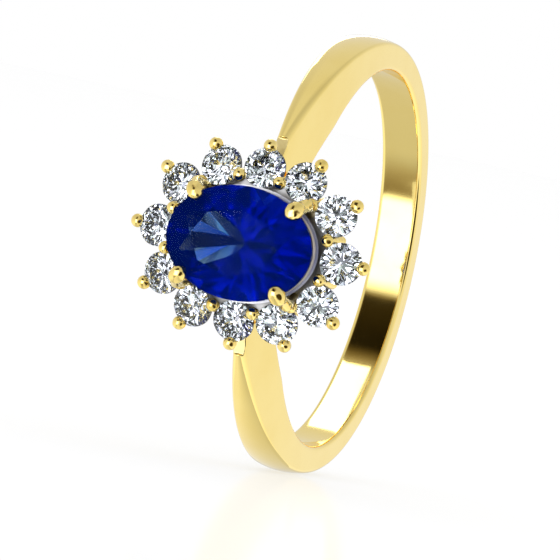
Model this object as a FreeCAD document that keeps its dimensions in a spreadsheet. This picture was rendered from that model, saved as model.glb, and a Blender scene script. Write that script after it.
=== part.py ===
import FreeCAD, Part
import math
import os

import Sketcher

# Cluster ring: an oval blue centre stone in four claws, twelve round diamonds
# around it, and a plain band whose shoulders rise and taper to the head.
#
# Frame: millimetres, origin at the centre of the finger hole. +X is the axis
# of the finger, the head points to -Y, and +Z is up.

Vector = FreeCAD.Vector
Placement = FreeCAD.Placement
Rotation = FreeCAD.Rotation

SIZES = {
    # Band
    "finger_radius": 8.6,
    "band_half_width": 0.95,
    "band_edge_radius": 9.7,
    "band_dome": 0.15,
    "bore_stock": 0.15,
    "bore_edge_round": 0.2,
    # Shoulders: how much the band grows or narrows where it meets the head
    "shoulder_rise": 2.5,
    "shoulder_ridge_taper": 0.75,
    "shoulder_foot_taper": 0.3,
    "shoulder_lift": 0.9,
    # Small flat on each shoulder, just behind the halo
    "collar_height": 4.83,
    "collar_radius": 12.0,
    "collar_length": 2.0,
    # Centre stone
    "sapphire_length": 6.7,
    "sapphire_width": 5.0,
    "sapphire_crown": 0.95,
    "sapphire_pavilion": 2.3,
    "sapphire_table": 0.6,
    "sapphire_height": 14.1,
    # Halo stones
    "diamond_radius": 0.925,
    "diamond_crown": 0.3,
    "diamond_pavilion": 0.8,
    "diamond_table": 0.56,
    "diamond_tilt": 18,
    "halo_height": 12.7,
    "end_stone_x": 4.27,
    "corner_stone_x": 3.61,
    "corner_stone_z": 2.0,
    "corner_stone_turn": 36,
    "corner_foot_turn": 29,
    "flank_stone_x": 1.96,
    "flank_stone_z": 3.13,
    "flank_stone_turn": 60,
    "flank_foot_turn": 66,
    "side_stone_z": 3.4,
    # Claws
    "outer_claw_reach": 0.98,
    "outer_claw_lift": 0.15,
    "outer_leg_radius": 0.24,
    "outer_bead_radius": 0.31,
    "inner_claw_inset": 0.38,
    "inner_foot_inset": 0.12,
    "inner_claw_rise": 0.45,
    "inner_leg_radius": 0.21,
    "inner_bead_radius": 0.3,
    "centre_claw_x": 2.3,
    "centre_claw_z": 1.87,
    "centre_claw_rise": 0.5,
    "centre_knee_reach": 0.42,
    "centre_knee_drop": 0.8,
    "centre_leg_radius": 0.29,
    "centre_arm_radius": 0.33,
    "centre_bead_length": 0.49,
    "centre_bead_width": 0.4,
    "centre_bead_height": 0.34,
    "foot_half_length": 2.5,
    "foot_half_width": 1.95,
    "foot_height": 8.95,
    "centre_foot_turn": 47,
    # Rail on the finger side of the head
    "rail_half_length": 2.85,
    "rail_half_width": 2.3,
    "rail_wall": 0.7,
    "rail_bottom": 8.2,
    "rail_depth": 1.3,
    # Open oval cone under the centre stone
    "collet_half_length": 3.35,
    "collet_half_width": 2.55,
    "collet_top": 13.25,
    "collet_depth": 2.3,
    "collet_taper": 1.25,
    "collet_wall": 0.28,
    "collet_rim_wall": 0.13,
    # Pierced plate and cups under the diamonds
    "plate_half_length": 4.05,
    "plate_half_width": 3.25,
    "plate_bottom": 11.75,
    "plate_thickness": 0.4,
    "cup_drop": 0.08,
    "cup_top_radius": 0.93,
    "cup_bottom_radius": 0.5,
    "cup_depth": 1.07,
    "cup_hole_radius": 0.3,
}

# Angles around the finger, measured from the head, in degrees
BACK_ANGLE = 180
SHOULDER_ANGLE = 110
LIFT_ANGLE = 50
HEAD_ANGLE = 20
END_ANGLE = 14
COLLAR_LEAN = 15
BEAD_SLOPE = 25
STATIONS = [END_ANGLE, 20, 27, 35, 44, 55, 68, 84, 100, 116, 132, 148, 164]

# Facet layout of a round brilliant, as fractions of the stone's radius
MAIN_FACETS = 8
GIRDLE_OVERHANG = 1.05
STAR_RADIUS = 0.79
LOWER_RADIUS = 0.22

HEAD = Placement(Vector(0, 0, 0), Rotation(Vector(1, 0, 0), 90))
OUT = Vector(0, 0, 1)

doc = FreeCAD.newDocument("cluster_ring")
sheet = doc.addObject("Spreadsheet::Sheet", "sizes")
for row, (name, value) in enumerate(SIZES.items(), start=1):
    sheet.set(f"A{row}", name)
    sheet.set(f"B{row}", str(value))
    sheet.setAlias(f"B{row}", name)
doc.recompute()

pieces = []


def size(name):
    """A driving dimension, read from the sheet."""
    return float(sheet.get(name))


def keep(piece, label):
    """Name a finished sub-part and list it for export."""
    piece.Label = label
    pieces.append(piece)
    return piece


def bind(piece, **cells):
    """Tie properties of a piece to expressions on the sheet."""
    for prop, expression in cells.items():
        piece.setExpression(prop, expression)
    return piece


def solid(kind, name, placement, **cells):
    """A primitive whose sizes come from the sheet, placed in head coordinates."""
    piece = bind(doc.addObject(kind, name), **cells)
    piece.Placement = HEAD.multiply(placement)
    return piece


def fuse(name, shapes):
    piece = doc.addObject("Part::MultiFuse", name)
    piece.Shapes = shapes
    return piece


def cut(name, base, tool):
    piece = doc.addObject("Part::Cut", name)
    piece.Base = base
    piece.Tool = tool
    return piece


def origin_plane(body, role):
    return next(item for item in body.Origin.OriginFeatures if item.Role == role)


def new_sketch(body, name, role, offset=None):
    sketch = body.newObject("Sketcher::SketchObject", name)
    sketch.AttachmentSupport = [(origin_plane(body, role), "")]
    sketch.MapMode = "FlatFace"
    if offset is not None:
        sketch.AttachmentOffset = offset
    return sketch


def limit(sketch, kind, *where, expression):
    """Add a driving constraint and tie it to an expression."""
    index = sketch.addConstraint(Sketcher.Constraint(kind, *where, 1.0))
    sketch.setExpression(f"Constraints[{index}]", expression)


# ---------------------------------------------------------------- band


def shoulder_weight(angle, from_angle, power):
    """0 at from_angle and beyond, growing to 1 at the head."""
    share = (from_angle - angle) / (from_angle - HEAD_ANGLE)
    return max(share, 0.0) ** power


def band_section(body, angle):
    """One cross-section of the band: flat inside, two sides, domed outside."""
    lean = min(angle, 2 * BACK_ANGLE - angle)
    rise = shoulder_weight(lean, SHOULDER_ANGLE, 2.3)
    ridge = shoulder_weight(lean, SHOULDER_ANGLE, 2.8)
    foot = shoulder_weight(lean, SHOULDER_ANGLE, 4.0)
    lift = shoulder_weight(lean, LIFT_ANGLE, 1.5)
    foot_x = f"sizes.band_half_width - {foot:.4f} * sizes.shoulder_foot_taper"
    ridge_x = f"sizes.band_half_width - {ridge:.4f} * sizes.shoulder_ridge_taper"
    inside = f"sizes.finger_radius - sizes.bore_stock + {lift:.4f} * sizes.shoulder_lift"
    edge = f"sizes.band_edge_radius + {rise:.4f} * sizes.shoulder_rise"
    crown = f"{edge} + sizes.band_dome"

    turn = Rotation(Vector(1, 0, 0), BACK_ANGLE - angle)
    sketch = new_sketch(body, "section", "XY_Plane", Placement(Vector(0, 0, 0), turn))
    radius = size("band_edge_radius")
    width = size("band_half_width")
    corners = [
        Vector(-width, size("finger_radius"), 0),
        Vector(width, size("finger_radius"), 0),
        Vector(width, radius, 0),
        Vector(-width, radius, 0),
    ]
    top = Vector(0, radius + size("band_dome"), 0)
    bottom_line = sketch.addGeometry(Part.LineSegment(corners[0], corners[1]))
    right_line = sketch.addGeometry(Part.LineSegment(corners[1], corners[2]))
    dome = sketch.addGeometry(Part.Arc(corners[2], top, corners[3]))
    left_line = sketch.addGeometry(Part.LineSegment(corners[3], corners[0]))
    crest = sketch.addGeometry(Part.Point(top), True)
    sketch.addConstraint([
        Sketcher.Constraint("Coincident", bottom_line, 2, right_line, 1),
        Sketcher.Constraint("Coincident", right_line, 2, dome, 1),
        Sketcher.Constraint("Coincident", dome, 2, left_line, 1),
        Sketcher.Constraint("Coincident", left_line, 2, bottom_line, 1),
        Sketcher.Constraint("Symmetric", bottom_line, 1, bottom_line, 2, -2),
        Sketcher.Constraint("Symmetric", dome, 1, dome, 2, -2),
        Sketcher.Constraint("PointOnObject", crest, 1, -2),
        Sketcher.Constraint("PointOnObject", crest, 1, dome),
    ])
    limit(sketch, "DistanceX", -1, 1, bottom_line, 2, expression=foot_x)
    limit(sketch, "DistanceY", -1, 1, bottom_line, 2, expression=inside)
    limit(sketch, "DistanceX", -1, 1, right_line, 2, expression=ridge_x)
    limit(sketch, "DistanceY", -1, 1, right_line, 2, expression=edge)
    limit(sketch, "DistanceY", -1, 1, crest, 1, expression=crown)
    return sketch


def bore_profile(body):
    """Half outline of the finger hole: a straight bore that flares at its rims."""
    sketch = new_sketch(body, "bore_profile", "XY_Plane")
    radius = size("finger_radius")
    width = size("band_half_width")
    flare = size("bore_edge_round")
    reach = 3 * width
    start = width - flare
    arc_end = Vector(start + flare * math.sin(math.radians(60)), radius + flare / 2, 0)
    arc_middle = Vector(
        start + flare * math.sin(math.radians(30)),
        radius + flare * (1 - math.cos(math.radians(30))),
        0,
    )
    rim = Vector(reach, arc_end.y + (reach - arc_end.x) * math.tan(math.radians(60)), 0)

    def mirrored(point):
        return Vector(-point.x, point.y, 0)

    bore_edge = Vector(start, radius, 0)
    outline = [
        Part.LineSegment(Vector(-reach, 0, 0), Vector(reach, 0, 0)),
        Part.LineSegment(Vector(reach, 0, 0), rim),
        Part.LineSegment(rim, arc_end),
        Part.Arc(arc_end, arc_middle, bore_edge),
        Part.LineSegment(bore_edge, mirrored(bore_edge)),
        Part.Arc(mirrored(bore_edge), mirrored(arc_middle), mirrored(arc_end)),
        Part.LineSegment(mirrored(arc_end), mirrored(rim)),
        Part.LineSegment(mirrored(rim), Vector(-reach, 0, 0)),
    ]
    for curve in outline:
        sketch.addGeometry(curve)
    limit(sketch, "DistanceY", -1, 1, 4, 1, expression="sizes.finger_radius")
    return sketch


def head_seat(body, foot, bead):
    """Side view of the head: a wedge that trims both ends of the band."""
    sketch = new_sketch(body, "head_seat", "YZ_Plane")
    lean = (bead - foot).normalize()
    outward = Vector(0, lean.z, -lean.y)
    low = foot + outward * size("outer_leg_radius") - lean * 2
    high = foot + outward * size("outer_leg_radius") + lean * 6
    corners = [
        Vector(-low.z, low.y, 0),
        Vector(-high.z, high.y, 0),
        Vector(-high.z, -high.y, 0),
        Vector(-low.z, -low.y, 0),
    ]
    for index, corner in enumerate(corners):
        sketch.addGeometry(Part.LineSegment(corner, corners[(index + 1) % len(corners)]))
    return sketch


def collar_flats(body):
    """Side view of the two corners trimmed off the shoulders beside the head."""
    sketch = new_sketch(body, "collar_flats", "YZ_Plane")
    lean = math.radians(COLLAR_LEAN)
    height = size("collar_height")
    depth = math.sqrt(size("collar_radius") ** 2 - height**2)
    length = size("collar_length")
    far = depth + 2 * length
    inner_height = height - length * math.cos(lean)
    for side in (1, -1):
        corners = [
            Vector(-depth, side * height, 0),
            Vector(-depth - length * math.sin(lean), side * inner_height, 0),
            Vector(-far, side * inner_height, 0),
            Vector(-far, side * height, 0),
        ]
        for index, corner in enumerate(corners):
            sketch.addGeometry(Part.LineSegment(corner, corners[(index + 1) % len(corners)]))
    return sketch


def make_band(foot, bead):
    body = doc.addObject("PartDesign::Body", "band")
    back = [2 * BACK_ANGLE - angle for angle in reversed(STATIONS)]
    sections = [band_section(body, angle) for angle in STATIONS + [BACK_ANGLE] + back]
    loft = body.newObject("PartDesign::AdditiveLoft", "band_loft")
    loft.Profile = sections[0]
    loft.Sections = sections[1:]
    profile = bore_profile(body)
    bore = body.newObject("PartDesign::Groove", "finger_hole")
    bore.Profile = profile
    bore.ReferenceAxis = (profile, ["H_Axis"])
    bore.Angle = 360
    for name, profile in (
        ("collar_cut", collar_flats(body)),
        ("head_seat_cut", head_seat(body, foot, bead)),
    ):
        pocket = body.newObject("PartDesign::Pocket", name)
        pocket.Profile = profile
        pocket.Type = 1
        pocket.Midplane = True
    return keep(body, "shank")


# -------------------------------------------------------------- stones


def brilliant(half_length, half_width, crown, pavilion, table, low):
    """A brilliant-cut stone: table up, point down, girdle at height 0.

    The facets meet a little outside the finished outline, and the outline
    then trims them, which leaves the narrow scalloped girdle of a real stone.
    """
    step = math.radians(180 / MAIN_FACETS)

    def point(radius, turn, height):
        across = half_length * radius * math.cos(turn)
        along = half_width * radius * math.sin(turn)
        return Vector(across, along, height)

    star_height = crown * (GIRDLE_OVERHANG - STAR_RADIUS * math.cos(step))
    star_height /= GIRDLE_OVERHANG - table
    low_height = -pavilion * (1 - low * math.cos(step) / GIRDLE_OVERHANG)
    culet = Vector(0, 0, -pavilion)
    faces = []
    table_corners = []
    for index in range(MAIN_FACETS):
        here = 2 * index * step
        tops = [point(table, here + 2 * k * step, crown) for k in (0, 1)]
        star = point(STAR_RADIUS, here + step, star_height)
        star_before = point(STAR_RADIUS, here - step, star_height)
        main = point(GIRDLE_OVERHANG, here, 0)
        between = point(GIRDLE_OVERHANG, here + step, 0)
        main_after = point(GIRDLE_OVERHANG, here + 2 * step, 0)
        lower = point(low, here + step, low_height)
        lower_before = point(low, here - step, low_height)
        table_corners.append(tops[0])
        faces += [
            [tops[0], tops[1], star],
            [tops[0], star, main, star_before],
            [star, main, between],
            [star, between, main_after],
            [culet, lower_before, main, lower],
            [lower, main, between],
            [lower, between, main_after],
        ]
    faces.append(table_corners)
    shell = Part.Shell([Part.Face(Part.makePolygon(face + face[:1])) for face in faces])
    blank = Part.Solid(shell)
    if blank.Volume < 0:
        blank.reverse()
    long_side = max(half_length, half_width)
    short_side = min(half_length, half_width)
    if long_side == short_side:
        outline = Part.Circle(Vector(0, 0, -pavilion), OUT, long_side)
    else:
        outline = Part.Ellipse(Vector(0, 0, -pavilion), long_side, short_side)
    wall = Part.Face(Part.Wire(outline.toShape())).extrude(OUT * (pavilion + crown))
    return blank.common(wall).Solids[0]


def make_stone(label, shape, placement):
    stone = doc.addObject("Part::Feature", label)
    stone.Shape = shape
    stone.Placement = HEAD.multiply(placement)
    return keep(stone, label)


def halo_layout():
    """Places of the twelve diamonds, clockwise from the top.

    Each is its x and z, the turn of its outward side, and the turn of its
    claw's foot around the rail.
    """
    quarter = [
        tuple(size(f"{kind}_{cell}") for cell in ("stone_x", "stone_z", "stone_turn", "foot_turn"))
        for kind in ("flank", "corner")
    ]
    places = [(0.0, size("side_stone_z"), 90.0, 90.0)]
    places += quarter
    places.append((size("end_stone_x"), 0.0, 0.0, 0.0))
    places += [(x, -z, -turn, -foot) for x, z, turn, foot in reversed(quarter)]
    places.append((0.0, -size("side_stone_z"), -90.0, -90.0))
    places += [(-x, -z, 180.0 + turn, 180.0 + foot) for x, z, turn, foot in quarter]
    places.append((-size("end_stone_x"), 0.0, 180.0, 180.0))
    places += [(-x, z, 180.0 - turn, 180.0 - foot) for x, z, turn, foot in reversed(quarter)]
    return places


def tilted(place):
    """Stone coordinates of a halo place: +X outward along its turn, tilted out."""
    x, z, turn = place[:3]
    around = Placement(Vector(x, z, size("halo_height")), Rotation(OUT, turn))
    tilt = Rotation(Vector(0, 1, 0), size("diamond_tilt"))
    return around.multiply(Placement(Vector(0, 0, 0), tilt))


# --------------------------------------------------------------- claws


def rod(name, start, end, cell):
    """A round wire between two points in head coordinates."""
    placement = Placement(start, Rotation(OUT, end - start))
    piece = solid("Part::Cylinder", name, placement, Radius=f"sizes.{cell}")
    piece.Height = (end - start).Length
    return piece


def ball(name, centre, cell):
    return solid("Part::Sphere", name, Placement(centre, Rotation()), Radius=f"sizes.{cell}")


def foot_at(degrees):
    """Where a claw's leg stands on the oval rail."""
    turn = math.radians(degrees)
    across = size("foot_half_length") * math.cos(turn)
    along = size("foot_half_width") * math.sin(turn)
    return Vector(across, along, size("foot_height"))


def make_outer_claw(number, place, stone):
    """A straight leg from the rail to a bead that laps the stone's outer edge."""
    name = f"outer_claw_{number:02d}"
    local = Vector(size("outer_claw_reach"), 0, size("outer_claw_lift"))
    bead = tilted(place).multVec(local)
    leg = rod(f"{name}_leg", foot_at(place[3]), bead, "outer_leg_radius")
    tip = ball(f"{name}_bead", bead, "outer_bead_radius")
    blank = fuse(f"{name}_blank", [leg, tip])
    keep(cut(name, blank, stone), name)
    return leg


def make_inner_claw(number, before, after, stones, beside):
    """A short peg from the plate to a bead shared by two neighbouring stones."""
    name = f"inner_claw_{number:02d}"
    first = Vector(before[0], before[1], 0)
    second = Vector(after[0], after[1], 0)
    inward = OUT.cross(first - second).normalize()
    if inward.dot(first) > 0:
        inward = -inward
    middle = (first + second) * 0.5
    foot = middle + inward * size("inner_foot_inset") + OUT * size("plate_bottom")
    bead = middle + inward * size("inner_claw_inset")
    bead.z = size("halo_height") + size("inner_claw_rise")
    leg = rod(f"{name}_leg", foot, bead, "inner_leg_radius")
    tip = ball(f"{name}_bead", bead, "inner_bead_radius")
    blank = fuse(f"{name}_blank", [leg, tip])
    keep(cut(name, blank, fuse(f"{name}_seats", stones + beside)), name)
    return leg


def make_centre_claw(number, side_x, side_z, stones):
    """A leg up past the girdle, then a bent arm and a long bead on the crown."""
    name = f"centre_claw_{number}"
    tip = Vector(side_x * size("centre_claw_x"), side_z * size("centre_claw_z"), 0)
    tip.z = size("sapphire_height") + size("centre_claw_rise")
    outward = Vector(side_x * size("sapphire_width"), side_z * size("sapphire_length"), 0)
    outward.normalize()
    knee = tip + outward * size("centre_knee_reach") - OUT * size("centre_knee_drop")
    foot = foot_at(size("centre_foot_turn"))
    foot = Vector(side_x * foot.x, side_z * foot.y, foot.z)
    leg = rod(f"{name}_leg", foot, knee, "centre_leg_radius")
    bend = ball(f"{name}_bend", knee, "centre_leg_radius")
    arm = solid(
        "Part::Cone",
        f"{name}_arm",
        Placement(knee, Rotation(OUT, tip - knee)),
        Radius1="sizes.centre_leg_radius",
        Radius2="sizes.centre_arm_radius",
    )
    arm.Height = (tip - knee).Length
    slope = math.radians(BEAD_SLOPE)
    aim = Rotation(Vector(1, 0, 0), outward * math.cos(slope) - OUT * math.sin(slope))
    bead = solid(
        "Part::Ellipsoid",
        f"{name}_bead",
        Placement(tip, aim),
        Radius1="sizes.centre_bead_height",
        Radius2="sizes.centre_bead_length",
        Radius3="sizes.centre_bead_width",
    )
    blank = fuse(f"{name}_blank", [leg, bend, arm, bead])
    return keep(cut(name, blank, fuse(f"{name}_seats", stones)), name), leg


# ---------------------------------------------------------------- head


def ellipse_sketch(body, name, height, half_length, half_width):
    """An oval on its own level; the three sizes are expressions."""
    sketch = new_sketch(body, name, "XY_Plane")
    sketch.setExpression("AttachmentOffset.Base.z", height)
    centre = Vector(0, 0, 0)
    oval = sketch.addGeometry(Part.Ellipse(centre, 3.0, 2.0))
    sketch.exposeInternalGeometry(oval)
    sketch.addConstraint(Sketcher.Constraint("Coincident", oval, 3, -1, 1))
    sketch.addConstraint(Sketcher.Constraint("Horizontal", oval + 1))
    limit(sketch, "Distance", oval + 1, expression=f"2 * ({half_length})")
    limit(sketch, "Distance", oval + 2, expression=f"2 * ({half_width})")
    return sketch


def collet_loft(body, kind, name, rim_inset, foot_inset):
    """An oval cone, its rim and its foot set in from the collet's outside."""
    wide = "sizes.collet_half_length"
    narrow = "sizes.collet_half_width"
    low = "sizes.collet_top - sizes.collet_depth"
    sketches = [
        ellipse_sketch(body, f"{name}_rim", "sizes.collet_top",
                       f"{wide} - {rim_inset}", f"{narrow} - {rim_inset}"),
        ellipse_sketch(body, f"{name}_foot", low,
                       f"{wide} - sizes.collet_taper - {foot_inset}",
                       f"{narrow} - sizes.collet_taper - {foot_inset}"),
    ]
    loft = body.newObject(kind, name)
    loft.Profile = sketches[0]
    loft.Sections = sketches[1:]


def make_collet_core():
    """The oval cone without its opening, which clears the plate's middle."""
    body = doc.addObject("PartDesign::Body", "collet_core")
    body.Placement = HEAD
    collet_loft(body, "PartDesign::AdditiveLoft", "core", "0", "0")
    return body


def make_collet_blank():
    """An open oval cone, widest and thinnest at its rim under the centre stone."""
    body = doc.addObject("PartDesign::Body", "collet_blank")
    body.Placement = HEAD
    collet_loft(body, "PartDesign::AdditiveLoft", "outside", "0", "0")
    collet_loft(body, "PartDesign::SubtractiveLoft", "inside",
                "sizes.collet_rim_wall", "sizes.collet_wall")
    return body


def make_rail_blank():
    """An oval ring whose finger side follows the curve of the finger hole."""
    body = doc.addObject("PartDesign::Body", "rail_blank")
    body.Placement = HEAD
    wide = "sizes.rail_half_length"
    narrow = "sizes.rail_half_width"
    outline = ellipse_sketch(body, "rail_outline", "sizes.rail_bottom", wide, narrow)
    pad = body.newObject("PartDesign::Pad", "rail_pad")
    pad.Profile = outline
    pad.setExpression("Length", "sizes.rail_depth")
    opening = ellipse_sketch(body, "rail_opening", "sizes.rail_bottom",
                             f"{wide} - sizes.rail_wall", f"{narrow} - sizes.rail_wall")
    window = body.newObject("PartDesign::Pocket", "rail_window")
    window.Profile = opening
    window.Type = 1
    window.Reversed = True
    circle = new_sketch(body, "finger_circle", "YZ_Plane")
    ring = circle.addGeometry(Part.Circle(Vector(0, 0, 0), OUT, size("finger_radius")))
    circle.addConstraint(Sketcher.Constraint("Coincident", ring, 3, -1, 1))
    limit(circle, "Radius", ring, expression="sizes.finger_radius")
    saddle = body.newObject("PartDesign::Pocket", "rail_saddle")
    saddle.Profile = circle
    saddle.Type = 1
    saddle.Midplane = True
    return body


def make_plate_blank(places):
    """The oval plate and its twelve tilted cups, before any seat is cut."""
    body = doc.addObject("PartDesign::Body", "plate_disc")
    body.Placement = HEAD
    outline = ellipse_sketch(body, "plate_outline", "sizes.plate_bottom",
                             "sizes.plate_half_length", "sizes.plate_half_width")
    pad = body.newObject("PartDesign::Pad", "plate_pad")
    pad.Profile = outline
    pad.setExpression("Length", "sizes.plate_thickness")
    cups = []
    for number, place in enumerate(places, start=1):
        down = Placement(Vector(0, 0, -size("cup_depth") - size("cup_drop")), Rotation())
        cups.append(solid(
            "Part::Cone",
            f"cup_{number:02d}",
            tilted(place).multiply(down),
            Radius1="sizes.cup_bottom_radius",
            Radius2="sizes.cup_top_radius",
            Height="sizes.cup_depth",
        ))
    return fuse("plate_blank", [body] + cups)


def pierced_holes(places):
    """The round hole through the cup under each diamond."""
    holes = []
    for number, place in enumerate(places, start=1):
        down = Placement(Vector(0, 0, -2 * size("cup_depth")), Rotation())
        holes.append(solid(
            "Part::Cylinder",
            f"hole_{number:02d}",
            tilted(place).multiply(down),
            Radius="sizes.cup_hole_radius",
            Height="2 * sizes.cup_depth",
        ))
    return holes


# ------------------------------------------------------------ assembly

places = halo_layout()

centre_shape = brilliant(
    size("sapphire_length") / 2,
    size("sapphire_width") / 2,
    size("sapphire_crown"),
    size("sapphire_pavilion"),
    size("sapphire_table"),
    LOWER_RADIUS,
)
centre_place = Placement(Vector(0, 0, size("sapphire_height")), Rotation())
sapphire = make_stone("sapphire", centre_shape, centre_place)

diamond_shape = brilliant(
    size("diamond_radius"),
    size("diamond_radius"),
    size("diamond_crown"),
    size("diamond_pavilion"),
    size("diamond_table"),
    LOWER_RADIUS,
)
diamonds = []
for number, place in enumerate(places, start=1):
    diamonds.append(make_stone(f"diamond_{number:02d}", diamond_shape, tilted(place)))

outer_legs = []
for number, place in enumerate(places, start=1):
    outer_legs.append(make_outer_claw(number, place, diamonds[number - 1]))

centre_claws = []
centre_legs = []
corners = [(-1, 1, 11), (1, 1, 1), (1, -1, 5), (-1, -1, 7)]
for number, (side_x, side_z, flank) in enumerate(corners, start=1):
    claw, leg = make_centre_claw(number, side_x, side_z, [sapphire, diamonds[flank]])
    centre_claws.append(claw)
    centre_legs.append(leg)

inner_legs = []
for number, place in enumerate(places, start=1):
    after = number % len(places)
    stones = [diamonds[number - 1], diamonds[after]]
    inner_legs.append(make_inner_claw(number, place, places[after], stones, centre_claws))

collet_blank = make_collet_blank()
keep(cut("centre_collet", collet_blank, fuse("collet_notches", centre_legs)), "centre_collet")

rail_blank = make_rail_blank()
rail_sockets = fuse("rail_sockets", outer_legs + centre_legs)
keep(cut("gallery_rail", rail_blank, rail_sockets), "gallery_rail")

plate_tools = [make_collet_core()] + diamonds + pierced_holes(places)
plate_tools += outer_legs + inner_legs + centre_legs
keep(cut("halo_gallery", make_plate_blank(places), fuse("plate_tools", plate_tools)), "halo_gallery")

top_bead = tilted(places[0]).multVec(Vector(size("outer_claw_reach"), 0, size("outer_claw_lift")))
make_band(foot_at(places[0][3]), top_bead)

doc.recompute()

for item in doc.Objects:
    if {"Invalid", "Error"} & set(item.State):
        raise RuntimeError(f"{item.Label} did not build: {item.State}")
os.makedirs("parts", exist_ok=True)
for piece in pieces:
    shape = piece.Shape
    if shape.isNull() or not shape.isValid() or shape.Volume <= 0:
        raise RuntimeError(f"{piece.Label} has no valid solid")
    if len(shape.Solids) != 1:
        raise RuntimeError(f"{piece.Label} is {len(shape.Solids)} solids, not one")
for piece in pieces:
    piece.Shape.exportStep(f"parts/{piece.Label}.step")
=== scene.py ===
import math

import bpy
from mathutils import Matrix, Vector


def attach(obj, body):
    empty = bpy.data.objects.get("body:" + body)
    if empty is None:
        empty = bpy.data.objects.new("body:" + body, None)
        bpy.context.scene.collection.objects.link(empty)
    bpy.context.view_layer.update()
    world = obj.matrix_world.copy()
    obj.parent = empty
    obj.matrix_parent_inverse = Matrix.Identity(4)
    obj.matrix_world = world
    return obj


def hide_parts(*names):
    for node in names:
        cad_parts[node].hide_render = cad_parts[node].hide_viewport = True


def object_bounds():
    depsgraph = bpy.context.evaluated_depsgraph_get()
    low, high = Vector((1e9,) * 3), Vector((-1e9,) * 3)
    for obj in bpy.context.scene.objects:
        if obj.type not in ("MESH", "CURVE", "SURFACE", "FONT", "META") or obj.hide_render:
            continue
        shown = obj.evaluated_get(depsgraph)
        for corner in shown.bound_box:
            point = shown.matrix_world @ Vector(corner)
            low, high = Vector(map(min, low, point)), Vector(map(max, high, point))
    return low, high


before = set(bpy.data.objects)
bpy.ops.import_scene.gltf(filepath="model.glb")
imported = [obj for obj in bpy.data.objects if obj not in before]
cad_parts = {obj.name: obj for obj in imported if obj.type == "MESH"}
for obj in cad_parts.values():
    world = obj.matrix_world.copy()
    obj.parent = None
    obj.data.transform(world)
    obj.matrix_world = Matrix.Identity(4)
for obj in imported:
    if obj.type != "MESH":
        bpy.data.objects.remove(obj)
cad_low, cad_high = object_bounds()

MM = 0.001


# ---------------------------------------------------------------- node helpers


def new_material(name):
    material = bpy.data.materials.new(name)
    material.use_nodes = True
    material.node_tree.nodes.clear()
    return material, material.node_tree


def node(tree, kind, inputs=None, **settings):
    """A shader node; inputs may be plain values or sockets to link from."""
    made = tree.nodes.new(kind)
    for key, value in settings.items():
        setattr(made, key, value)
    for key, value in (inputs or {}).items():
        if isinstance(value, bpy.types.NodeSocket):
            tree.links.new(value, made.inputs[key])
        else:
            made.inputs[key].default_value = value
    return made


def math_node(tree, operation, a, b=0.0, c=0.0):
    return node(tree, "ShaderNodeMath", {0: a, 1: b, 2: c}, operation=operation).outputs[0]


def remap(tree, value, low, high, out_low, out_high):
    made = node(tree, "ShaderNodeMapRange", {
        "Value": value,
        "From Min": low,
        "From Max": high,
        "To Min": out_low,
        "To Max": out_high,
    })
    return made.outputs[0]


def blend_float(tree, share, a, b):
    made = node(tree, "ShaderNodeMix", {"Factor": share, "A": a, "B": b}, data_type="FLOAT")
    return made.outputs["Result"]


def blend_colour(tree, share, a, b):
    made = node(tree, "ShaderNodeMix", {"Factor": share}, data_type="RGBA")
    for socket, value in ((made.inputs[6], a), (made.inputs[7], b)):
        if isinstance(value, bpy.types.NodeSocket):
            tree.links.new(value, socket)
        else:
            socket.default_value = (*value, 1)
    return made.outputs[2]


def brightness_ramp(tree, share, stops, ease):
    """A ramp of plain brightness; stops are (position 0 to 1, value)."""
    ramp = node(tree, "ShaderNodeValToRGB", {"Fac": share})
    ramp.color_ramp.interpolation = ease
    peak = max(value for _, value in stops)
    elements = ramp.color_ramp.elements
    while len(elements) > 1:
        elements.remove(elements[-1])
    for index, (spot, value) in enumerate(stops):
        item = elements[0] if index == 0 else elements.new(spot)
        item.position = spot
        item.color = (value / peak, value / peak, value / peak, 1)
    return math_node(tree, "MULTIPLY", ramp.outputs[0], peak)


# ------------------------------------------------------------------- materials


def metal(name, colour, worn, smooth, dull, file_depth=0.0):
    """Polished metal with soft unevenness, fine hairlines and worn patches.

    file_depth is the depth in metres of the dents left by the setter's tools.
    """
    material, tree = new_material(name)
    where = node(tree, "ShaderNodeTexCoord").outputs["Object"]
    patches = node(tree, "ShaderNodeTexNoise", {"Vector": where, "Scale": 420.0, "Detail": 3.0})
    grain = node(tree, "ShaderNodeTexNoise", {"Vector": where, "Scale": 5200.0, "Detail": 2.0})
    stretched = node(tree, "ShaderNodeMapping", {
        "Vector": where,
        "Rotation": (0.4, 0.2, 0.9),
        "Scale": (700.0, 9000.0, 9000.0),
    })
    hairlines = node(tree, "ShaderNodeTexNoise", {
        "Vector": stretched.outputs[0],
        "Scale": 1.0,
        "Detail": 2.0,
    })
    wear = remap(tree, patches.outputs[0], 0.42, 0.68, 0.0, 1.0)
    tint = blend_colour(tree, wear, colour, worn)
    rough = blend_float(tree, wear, smooth, dull)
    rough = math_node(tree, "MULTIPLY_ADD", hairlines.outputs[0], 0.03, rough)
    height = math_node(tree, "MULTIPLY_ADD", grain.outputs[0], 0.35, hairlines.outputs[0])
    dents = node(tree, "ShaderNodeTexNoise", {"Vector": where, "Scale": 2600.0, "Detail": 1.0})
    filed = node(tree, "ShaderNodeBump", {
        "Strength": 1.0,
        "Distance": file_depth,
        "Height": dents.outputs[0],
    })
    bump = node(tree, "ShaderNodeBump", {
        "Strength": 0.2,
        "Distance": 0.0012 * MM,
        "Height": height,
        "Normal": filed.outputs[0],
    })
    shader = node(tree, "ShaderNodeBsdfPrincipled", {
        "Base Color": tint,
        "Metallic": 1.0,
        "Roughness": rough,
        "Normal": bump.outputs[0],
    })
    node(tree, "ShaderNodeOutputMaterial", {"Surface": shader.outputs[0]})
    return material


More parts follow.
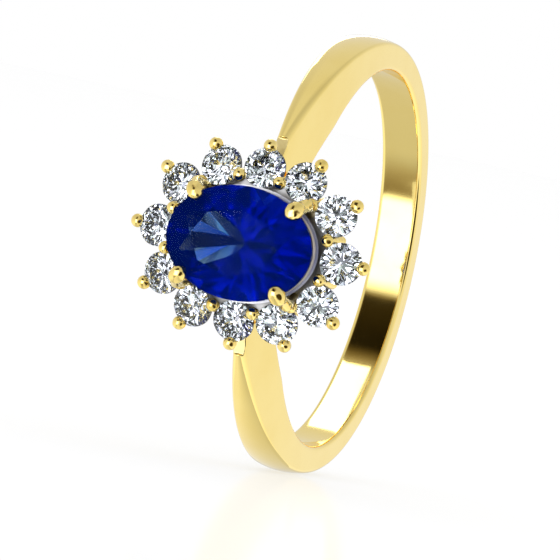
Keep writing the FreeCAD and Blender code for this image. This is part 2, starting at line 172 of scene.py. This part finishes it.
def gem(name, ior, tint, shine, haze, body=None, mirror=0.0, blur=0.0):
    """A cut stone: clear inside, with a held-back mirror shine on its facets.

    haze is the unevenness of that shine, and blur spreads the light that passes.
    mirror is how far a facet throws light back into the stone from within.
    body gives the colour of the stone's own material and a painted glow inside it.
    """
    material, tree = new_material(name)
    geometry = node(tree, "ShaderNodeNewGeometry")
    where = node(tree, "ShaderNodeTexCoord").outputs["Object"]
    polish = node(tree, "ShaderNodeTexNoise", {"Vector": where, "Scale": 3000.0, "Detail": 3.0})
    rough = remap(tree, polish.outputs[0], 0.3, 0.8, 0.0, haze)
    fresnel = node(tree, "ShaderNodeFresnel", {"IOR": ior})
    share = math_node(tree, "MULTIPLY", fresnel.outputs[0], shine)
    clear = {"IOR": ior, "Roughness": blur}
    into = node(tree, "ShaderNodeBsdfRefraction", {"Color": (*tint, 1), **clear})
    off = node(tree, "ShaderNodeBsdfGlossy", {"Roughness": rough})
    outside = node(tree, "ShaderNodeMixShader", {0: share, 1: into.outputs[0], 2: off.outputs[0]})
    glass = node(tree, "ShaderNodeBsdfGlass", {"Color": (1, 1, 1, 1), **clear})
    back = node(tree, "ShaderNodeBsdfGlossy", {"Color": (*tint, 1), "Roughness": 0.0})
    inside = node(tree, "ShaderNodeMixShader", {0: mirror, 1: glass.outputs[0], 2: back.outputs[0]})
    surface = node(tree, "ShaderNodeMixShader", {
        0: geometry.outputs["Backfacing"],
        1: outside.outputs[0],
        2: inside.outputs[0],
    })
    out = node(tree, "ShaderNodeOutputMaterial", {"Surface": surface.outputs[0]})
    if body:
        filled = node(tree, "ShaderNodeVolumeAbsorption", {
            "Color": (*body["passes"], 1),
            "Density": body["density"],
        })
        # Painted light: the stone's body glows as if lit from within
        glow = node(tree, "ShaderNodeEmission", {
            "Color": (*body["glow"], 1),
            "Strength": body["painted_glow_strength"],
        })
        both = node(tree, "ShaderNodeAddShader", {0: filled.outputs[0], 1: glow.outputs[0]})
        tree.links.new(both.outputs[0], out.inputs["Volume"])
    return material


def frosted(name, colour, rough):
    """The ground edge of a cut stone, left matt between its crown and pavilion."""
    material, tree = new_material(name)
    where = node(tree, "ShaderNodeTexCoord").outputs["Object"]
    grain = node(tree, "ShaderNodeTexNoise", {"Vector": where, "Scale": 9000.0, "Detail": 3.0})
    tint = blend_colour(tree, grain.outputs[0], colour, tuple(0.6 * part for part in colour))
    bump = node(tree, "ShaderNodeBump", {
        "Strength": 0.4,
        "Distance": 0.002 * MM,
        "Height": grain.outputs[0],
    })
    shader = node(tree, "ShaderNodeBsdfPrincipled", {
        "Base Color": tint,
        "Roughness": remap(tree, grain.outputs[0], 0.3, 0.7, rough, rough + 0.15),
        "Normal": bump.outputs[0],
    })
    node(tree, "ShaderNodeOutputMaterial", {"Surface": shader.outputs[0]})
    return material


SAPPHIRE_IOR = 1.77
DIAMOND_IOR = 2.42
WHITE = (1.0, 1.0, 1.0)
ICE = (0.97, 0.99, 1.0)
# The sapphire's blue body; its glow is painted light, since the stone gives off none of its own
ROYAL_BLUE_WITH_PAINTED_GLOW = {
    "passes": (0.02, 0.36, 0.83),
    "density": 1500,
    "glow": (0.0, 0.22, 1.0),
    "painted_glow_strength": 20,
}

gold = metal("yellow_gold", (1.0, 0.79, 0.28), (0.98, 0.76, 0.25), 0.05, 0.09)
satin_gold = metal("satin_gold", (1.0, 0.84, 0.42), (0.98, 0.80, 0.34), 0.38, 0.46)
claw_gold = metal("claw_gold", (1.0, 0.79, 0.29), (0.96, 0.73, 0.22), 0.10, 0.18, 0.07 * MM)
rim_metal = metal("rim_white_gold", (0.86, 0.86, 0.86), (0.78, 0.78, 0.78), 0.42, 0.52)
# The plate's white gold is much darker than the rim's: painted shade for where it lies under and
# between the stones
plate_metal_painted_shade = metal("plate_white_gold_painted_shade", (0.44, 0.44, 0.45), (0.34, 0.34, 0.35), 0.28, 0.40)
sapphire = gem("sapphire", SAPPHIRE_IOR, WHITE, 0.035, 0.0, body=ROYAL_BLUE_WITH_PAINTED_GLOW, blur=0.09)
sapphire_edge = frosted("sapphire_edge", (0.0, 0.004, 0.05), 0.3)
diamond = gem("diamond_crown", DIAMOND_IOR, ICE, 0.3, 0.01)
diamond_back = gem("diamond_pavilion", DIAMOND_IOR, ICE, 0.3, 0.01, mirror=0.9)
diamond_edge = frosted("diamond_edge", (0.20, 0.21, 0.23), 0.35)


def finish_for(name):
    if name == "sapphire":
        return sapphire
    if name.startswith("diamond_"):
        return diamond
    if name == "centre_collet":
        return rim_metal
    if name == "halo_gallery":
        return plate_metal_painted_shade
    if "claw" in name:
        return claw_gold
    return gold


for name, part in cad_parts.items():
    part.data.materials.clear()
    part.data.materials.append(finish_for(name))


# ---------------------------------------------------------------------- stones

# Facets whose cosine against the table is below this are the girdle's
GIRDLE_SLOPE = 0.2
AIR_GAP = 0.004


def finish_stone(stone, back, edge):
    """Give the pavilion and the girdle of a stone finishes of their own."""
    table = max(stone.data.polygons, key=lambda face: face.area)
    stone.data.materials.append(back)
    stone.data.materials.append(edge)
    for face in stone.data.polygons:
        facing = face.normal.dot(table.normal)
        if abs(facing) < GIRDLE_SLOPE:
            face.material_index = 2
        elif facing < 0:
            face.material_index = 1


def part_from_seat(stone):
    """Draw a stone in by a hair, so that air lies between it and its seat.

    The frame's facets share no corners, so each facet moves by itself and their
    edges no longer meet: the stone's visible mesh isn't closed.
    """
    shrink = stone.modifiers.new("air_gap", "DISPLACE")
    shrink.mid_level = 0.0
    shrink.strength = -AIR_GAP * MM


for name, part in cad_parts.items():
    if name == "sapphire":
        finish_stone(part, sapphire, sapphire_edge)
        part_from_seat(part)
    if name.startswith("diamond_"):
        finish_stone(part, diamond_back, diamond_edge)
        part_from_seat(part)


# ----------------------------------------------------------------------- claws

CAST_GRAIN = 0.04
POLISH = 0.5
CENTRE_PASSES = 8
SMALL_PASSES = 5


def soften(part, passes):
    """Melt the joins between a claw's leg, arm and bead into one cast shape."""
    remesh = part.modifiers.new("cast", "REMESH")
    remesh.mode = "VOXEL"
    remesh.voxel_size = CAST_GRAIN * MM
    remesh.use_smooth_shade = True
    relax = part.modifiers.new("polish", "SMOOTH")
    relax.iterations = passes
    relax.factor = POLISH


for name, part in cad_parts.items():
    if "claw" in name:
        soften(part, CENTRE_PASSES if name.startswith("centre") else SMALL_PASSES)


# ------------------------------------------------------------------------ band

# All in millimetres, and in degrees from the middle of the head. The plain back:
FINGER_RADIUS = 8.6
BACK_RADIUS = 9.7
HALF_WIDTH = 0.95
FLARE = 0.2
OUTER_ROUND = 0.13
DOME = 0.15
# The shoulders, which rise and narrow from their start to their end
SHOULDER_START = 110
SHOULDER_END = 20
SHOULDER_RISE = 2.5
RIDGE_TAPER = 0.75
FOOT_TAPER = 0.3
# The inside of the band, which lifts off the finger near the head
INSIDE_START = 50
INSIDE_RISE = 0.9
INSIDE_DIP = 0.15
# The plane that trims each end runs from the foot of an outer claw to its bead
SEAT_FOOT = Vector((8.95, 1.95))
SEAT_BEAD = Vector((12.54, 4.378))
SEAT_GAP = 0.24
# The flat filed on each shoulder beside the head
COLLAR_HEIGHT = 4.83
COLLAR_RADIUS = 12.0
COLLAR_LEAN = math.radians(15)
COLLAR_BLEND = 0.06
COLLAR_REACH = 10.6
COLLAR_FACING = 0.85
# Points round each corner and along each side of a section, and the rows of
# sections: close together near the ends, wider round the back
CORNER_STEPS = 7
SIDE_STEPS = 8
END_SHARE = 0.045
END_ROWS = 60
BACK_ROWS = 220


def shoulder_weight(angle, start, power):
    return max((start - angle) / (start - SHOULDER_END), 0.0) ** power


def band_sizes(angle):
    """Half widths and radii of the band at an angle from the head, in degrees."""
    lean = min(angle, 360 - angle)
    foot = HALF_WIDTH - FOOT_TAPER * shoulder_weight(lean, SHOULDER_START, 4.0)
    ridge = HALF_WIDTH - RIDGE_TAPER * shoulder_weight(lean, SHOULDER_START, 2.8)
    inside = FINGER_RADIUS - INSIDE_DIP + INSIDE_RISE * shoulder_weight(lean, INSIDE_START, 1.5)
    outside = BACK_RADIUS + SHOULDER_RISE * shoulder_weight(lean, SHOULDER_START, 2.3)
    return foot, ridge, max(inside, FINGER_RADIUS), outside


def rounded(corner, before, after, radius):
    """Points that round off one corner of an outline."""
    to_before = before - corner
    to_after = after - corner
    reach = min(radius, 0.45 * to_before.length, 0.45 * to_after.length)
    start = corner + to_before.normalized() * reach
    end = corner + to_after.normalized() * reach
    points = []
    for step in range(CORNER_STEPS + 1):
        share = step / CORNER_STEPS
        points.append(start * (1 - share) ** 2 + corner * 2 * share * (1 - share) + end * share**2)
    return points


def band_outline(angle):
    """One section as (across, radius) points: flat inside, domed outside."""
    foot, ridge, inside, outside = band_sizes(angle)
    corners = [
        (Vector((-foot, inside)), FLARE),
        (Vector((foot, inside)), FLARE),
        (Vector((ridge, outside)), OUTER_ROUND),
        (Vector((-ridge, outside)), OUTER_ROUND),
    ]
    runs = []
    for index, (corner, radius) in enumerate(corners):
        before = corners[index - 1][0]
        after = corners[(index + 1) % 4][0]
        runs.append(rounded(corner, before, after, radius))
    points = []
    for index, run in enumerate(runs):
        points += run
        start, end = run[-1], runs[(index + 1) % 4][0]
        for step in range(1, SIDE_STEPS):
            points.append(start.lerp(end, step / SIDE_STEPS))
    domed = []
    for point in points:
        share = max(1 - (point.x / ridge) ** 2, 0.0) if point.y > (inside + outside) / 2 else 0.0
        nearness = max((point.y - inside) / (outside - inside), 0.0) ** 8
        domed.append(Vector((point.x, point.y + DOME * share * nearness)))
    return domed


def seat_depth(angle, radius):
    """How far a point stands behind the plane that trims the band's ends."""
    turn = math.radians(min(angle, 360 - angle))
    lean = (SEAT_BEAD - SEAT_FOOT).normalized()
    spot = Vector((radius * math.cos(turn), radius * math.sin(turn))) - SEAT_FOOT
    return spot.y * lean.x - spot.x * lean.y - SEAT_GAP


def end_angle(strand):
    """Where one lengthwise line of the band meets the plane that trims it."""
    low, high = 8.0, 40.0
    for _ in range(30):
        middle = (low + high) / 2
        if seat_depth(middle, band_outline(middle)[strand].y) > 0:
            high = middle
        else:
            low = middle
    return high


def collar(height, rise):
    """Flatten the shoulder's corner beside the head; both in millimetres."""
    across = abs(rise)
    depth = math.sqrt(COLLAR_RADIUS**2 - COLLAR_HEIGHT**2)
    proud = (height - depth) * math.cos(COLLAR_LEAN)
    proud += (across - COLLAR_HEIGHT) * math.sin(COLLAR_LEAN)
    share = min(max((COLLAR_HEIGHT - across) / COLLAR_BLEND + 0.5, 0.0), 1.0)
    share *= share * (3 - 2 * share)
    return height - share * max(proud, 0.0) / math.cos(COLLAR_LEAN)


def build_band():
    """The polished band as one smooth closed surface, in place of the CAD's."""
    near_end = [END_SHARE * row / END_ROWS for row in range(END_ROWS)]
    back = [END_SHARE + (1 - 2 * END_SHARE) * row / BACK_ROWS for row in range(BACK_ROWS + 1)]
    stations = near_end + back + [1 - share for share in reversed(near_end)]
    strands = len(band_outline(90))
    starts = [end_angle(strand) for strand in range(strands)]
    grid = []
    for share in stations:
        ring = []
        for strand in range(strands):
            angle = starts[strand] + (360 - 2 * starts[strand]) * share
            point = band_outline(angle)[strand]
            turn = math.radians(angle)
            rise = point.y * math.sin(turn)
            height = collar(point.y * math.cos(turn), rise)
            ring.append(Vector((point.x, -height, rise)) * MM)
        grid.append(ring)
    vertices = [point for ring in grid for point in ring]
    faces = []
    for row in range(len(grid) - 1):
        for strand in range(strands):
            after = (strand + 1) % strands
            here = row * strands
            above = here + strands
            faces.append((here + strand, above + strand, above + after, here + after))
    last = (len(grid) - 1) * strands
    faces.append(tuple(range(strands)))
    faces.append(tuple(last + strand for strand in reversed(range(strands))))
    mesh = bpy.data.meshes.new("shank_polished")
    mesh.from_pydata(vertices, [], faces)
    mesh.validate()
    band = bpy.data.objects.new("shank_polished", mesh)
    bpy.context.scene.collection.objects.link(band)
    mesh.polygons.foreach_set("use_smooth", [len(face.vertices) == 4 for face in mesh.polygons])
    mesh.materials.append(gold)
    mesh.materials.append(satin_gold)
    edge = (COLLAR_HEIGHT + COLLAR_BLEND / 2) * MM
    for face in mesh.polygons:
        near_head = abs(face.center.z) < edge and face.center.y < -COLLAR_REACH * MM
        if near_head and face.normal.y < -COLLAR_FACING:
            face.material_index = 1
    weigh = band.modifiers.new("even_shading", "WEIGHTED_NORMAL")
    weigh.keep_sharp = True
    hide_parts("shank")
    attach(band, "root")


build_band()


# ---------------------------------------------------------------------- studio

# Brightness of the studio around the ring, by the angle of a direction about
# the finger's axis: 0 looks out past the head, 90 is straight up. A softbox
# stands from -37 to 8, with a dark gap above it and grey walls elsewhere.
AROUND = [
    (-180, 0.72),
    (-75, 0.67),
    (-44, 0.28),
    (-37, 3.6),
    (8, 3.6),
    (22, 0.03),
    (52, 0.012),
    (78, 0.78),
    (115, 0.76),
    (180, 0.78),
]
# Brightness met by light leaving a stone, by a patchwork of directions
SPARKLE = [(0.0, 0.02), (0.34, 0.35), (0.46, 1.0), (0.66, 1.9), (0.88, 3.4)]
SPARKLE_PATCHES = 7.0
SPARKLE_TINT = (0.95, 0.99, 1.05)
FIRE = 0.14
# Brightness to the two ends of the finger's axis, its fall with height, and the
# stretch of the axis over which each end takes over from the ramp above
SIDE_GLOW = 0.93
SIDE_FALL = -0.35
LEFT_BLEND = (-0.36, -0.6)
RIGHT_BLEND = (0.0, 0.22)
# A dark patch low in front and to one side, for the claws' round tips to reflect
PATCH_AT = Vector((0.75, -0.6, -0.3))
PATCH_EDGE = (0.84, 0.92)
PATCH_GLOW = 0.05
# Dim parts of the room are tinted warm
DIM_ROOM = (0.05, 0.6)
DIM_TONE = (1.0, 0.72, 0.25)
FLOOR_FILL = 1.23
BACKDROP = 1.0


def build_world():
    """A staged studio: metal, stones, floor and camera each meet their own light."""
    world = bpy.data.worlds.new("studio")
    bpy.context.scene.world = world
    world.use_nodes = True
    tree = world.node_tree
    tree.nodes.clear()
    where = node(tree, "ShaderNodeTexCoord").outputs["Generated"]
    split = node(tree, "ShaderNodeSeparateXYZ", {0: where})
    x, y, z = split.outputs
    turn = math_node(tree, "ARCTAN2", z, math_node(tree, "MULTIPLY", y, -1.0))
    share = math_node(tree, "MULTIPLY_ADD", turn, 1 / (2 * math.pi), 0.5)
    stops = [((angle + 180) / 360, value) for angle, value in AROUND]
    around = brightness_ramp(tree, share, stops, "EASE")
    left = remap(tree, x, *LEFT_BLEND, 0.0, 1.0)
    right = remap(tree, x, *RIGHT_BLEND, 0.0, 1.0)
    sides = math_node(tree, "MULTIPLY_ADD", z, SIDE_FALL, SIDE_GLOW)
    room = blend_float(tree, math_node(tree, "MAXIMUM", left, right), around, sides)
    aims = {0: where, 1: PATCH_AT.normalized()}
    facing = node(tree, "ShaderNodeVectorMath", aims, operation="DOT_PRODUCT")
    shade = remap(tree, facing.outputs["Value"], *PATCH_EDGE, 1.0, PATCH_GLOW)
    room = math_node(tree, "MULTIPLY", room, shade)
    warmth = remap(tree, room, *DIM_ROOM, 1.0, 0.0)
    tone = blend_colour(tree, warmth, WHITE, DIM_TONE)

    cells = node(tree, "ShaderNodeTexVoronoi", {"Vector": where, "Scale": SPARKLE_PATCHES})
    patch = node(tree, "ShaderNodeSeparateColor", {0: cells.outputs["Color"]}).outputs[0]
    sparkle = brightness_ramp(tree, patch, SPARKLE, "CONSTANT")
    fire = blend_colour(tree, FIRE, SPARKLE_TINT, cells.outputs["Color"])

    path = node(tree, "ShaderNodeLightPath")
    through = math_node(tree, "GREATER_THAN", path.outputs["Transmission Depth"], 0.5)
    seen = blend_float(tree, through, room, sparkle)
    colour = blend_colour(tree, through, tone, fire)
    for kind, strength in (("Is Diffuse Ray", FLOOR_FILL), ("Is Camera Ray", BACKDROP)):
        seen = blend_float(tree, path.outputs[kind], seen, strength)
        colour = blend_colour(tree, path.outputs[kind], colour, WHITE)
    sky = node(tree, "ShaderNodeBackground", {"Color": colour, "Strength": seen})
    node(tree, "ShaderNodeOutputWorld", {"Surface": sky.outputs[0]})


# Metres across; the rest mix the paper's own light with its reflection
FLOOR_SIZE = 2.4
FLOOR_GREY = (0.32, 0.32, 0.32, 1)
FLOOR_LIFT = 0.8
FLOOR_SHINE = 0.3
FLOOR_BLUR = 0.10


def build_floor():
    """Glowing paper, bright enough to join the backdrop, with a faint reflection."""
    bpy.ops.mesh.primitive_plane_add(size=FLOOR_SIZE, location=(0, 0, cad_low.z))
    floor = bpy.context.object
    floor.name = "floor"
    material, tree = new_material("floor")
    diffuse = node(tree, "ShaderNodeBsdfDiffuse", {"Color": FLOOR_GREY})
    lift = node(tree, "ShaderNodeEmission", {"Strength": FLOOR_LIFT})
    paper = node(tree, "ShaderNodeAddShader", {0: diffuse.outputs[0], 1: lift.outputs[0]})
    gloss = node(tree, "ShaderNodeBsdfGlossy", {"Roughness": FLOOR_BLUR})
    layers = {0: FLOOR_SHINE, 1: paper.outputs[0], 2: gloss.outputs[0]}
    surface = node(tree, "ShaderNodeMixShader", layers)
    node(tree, "ShaderNodeOutputMaterial", {"Surface": surface.outputs[0]})
    floor.data.materials.append(material)
    floor.visible_glossy = False
    floor.visible_transmission = False


def build_card(name, centre, width, length, ends, glows, clear_below=False):
    """A glowing card hidden from the camera, seen in the metal's reflections.

    Its strength goes from one glow to the other between the two ends, along X.
    clear_below lets it vanish from underneath, so that the floor doesn't mirror it.
    """
    bpy.ops.mesh.primitive_plane_add(size=MM, location=centre * MM)
    card = bpy.context.object
    card.name = name
    card.scale = (width, length, 1)
    material, tree = new_material(name)
    geometry = node(tree, "ShaderNodeNewGeometry")
    spot = node(tree, "ShaderNodeSeparateXYZ", {0: geometry.outputs["Position"]})
    span = [end * MM for end in ends]
    strength = remap(tree, spot.outputs[0], *span, *glows)
    glow = node(tree, "ShaderNodeEmission", {"Strength": strength})
    clear = node(tree, "ShaderNodeBsdfTransparent")
    below = geometry.outputs["Backfacing"]
    share = math_node(tree, "MULTIPLY", below, 1.0 if clear_below else 0.0)
    layers = {0: share, 1: glow.outputs[0], 2: clear.outputs[0]}
    surface = node(tree, "ShaderNodeMixShader", layers)
    node(tree, "ShaderNodeOutputMaterial", {"Surface": surface.outputs[0]})
    card.data.materials.append(material)
    card.visible_camera = False
    card.visible_diffuse = False
    card.visible_transmission = False


# Azimuth, elevation and roll in degrees, the rest in millimetres. The view aims
# a little to the left of the finger's axis and below it.
VIEW_ANGLES = (17.3, 1.7, 11.7)
VIEW_DISTANCE = 400
VIEW_LEFT = 2.15
VIEW_DOWN = 1.6
VIEW_LENS = 574.0714


def build_camera():
    azimuth, elevation, roll = (math.radians(angle) for angle in VIEW_ANGLES)
    back = Vector((
        math.sin(azimuth) * math.cos(elevation),
        -math.cos(azimuth) * math.cos(elevation),
        math.sin(elevation),
    ))
    target = Vector((
        -VIEW_LEFT * math.cos(azimuth),
        -VIEW_LEFT * math.sin(azimuth),
        -VIEW_DOWN,
    ))
    right = Vector((0, 0, 1)).cross(back).normalized()
    up = back.cross(right)
    rolled_right = right * math.cos(roll) + up * math.sin(roll)
    rolled_up = up * math.cos(roll) - right * math.sin(roll)
    data = bpy.data.cameras.new("camera")
    camera = bpy.data.objects.new("camera", data)
    bpy.context.scene.collection.objects.link(camera)
    axes = Matrix((rolled_right, rolled_up, back)).transposed().to_4x4()
    camera.matrix_world = Matrix.Translation((target + back * VIEW_DISTANCE) * MM) @ axes
    data.lens = VIEW_LENS
    data.clip_start = 0.01
    data.clip_end = 10
    bpy.context.scene.camera = camera


build_world()
build_floor()
build_card("overhead_card", Vector((-7.4, 10.5, 14)), 4.6, 23, (-10, -4), (3.7, 3.7))
build_card("front_card", Vector((-1.2, -14, -9.82)), 6.4, 23, (-1.9, 1.1), (0.98, 0.68), True)
build_camera()
bpy.context.scene.view_settings.view_transform = "Standard"
bpy.context.scene.cycles.max_bounces = 20
bpy.context.scene.cycles.glossy_bounces = 16
bpy.context.scene.cycles.transmission_bounces = 16
